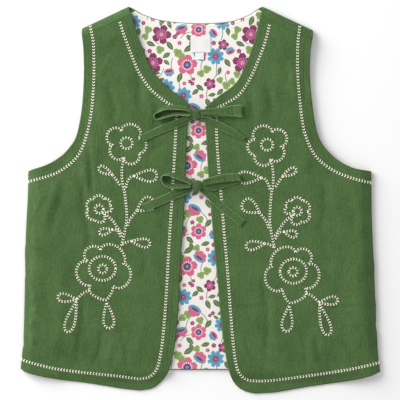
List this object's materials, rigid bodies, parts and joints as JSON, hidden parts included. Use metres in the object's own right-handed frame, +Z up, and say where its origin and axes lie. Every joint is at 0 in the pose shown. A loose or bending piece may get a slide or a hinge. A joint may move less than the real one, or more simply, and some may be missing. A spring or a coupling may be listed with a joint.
{
  "type": "child's waistcoat laid flat",
  "caption": "Sleeveless lined cotton waistcoat for a child, laid flat, with open neck, rounded front hem corners and two tied bows.",
  "frame": {"origin": "centre of the garment's outline, on the surface it lies on", "axes": "+Y from hem to neck, +X to the right as seen from above, +Z up out of the surface"},
  "size_m": [0.378, 0.4069, 0.015],
  "materials": {
    "green_cloth": "soft matte woven cotton, lightly crinkled, green",
    "tie_cloth": "matte woven cotton, folded and pressed, green",
    "printed_lining": "smooth off-white cotton with a printed flower pattern",
    "woven_label": "smooth white woven tape"
  },
  "bodies": {
    "root": {"back": "green_cloth", "back_lining": "printed_lining", "front_left": "green_cloth", "front_right": "green_cloth", "label": "woven_label", "size_tab": "woven_label", "upper_knot": "tie_cloth", "upper_loop_left": "tie_cloth", "upper_loop_right": "tie_cloth", "upper_tail_left": "tie_cloth", "upper_tail_right": "tie_cloth", "upper_root_left": "tie_cloth", "upper_root_right": "tie_cloth", "lower_knot": "tie_cloth", "lower_loop_left": "tie_cloth", "lower_loop_right": "tie_cloth", "lower_tail_left": "tie_cloth", "lower_tail_right": "tie_cloth", "lower_root_left": "tie_cloth", "lower_root_right": "tie_cloth"}
  },
  "joints": []
}
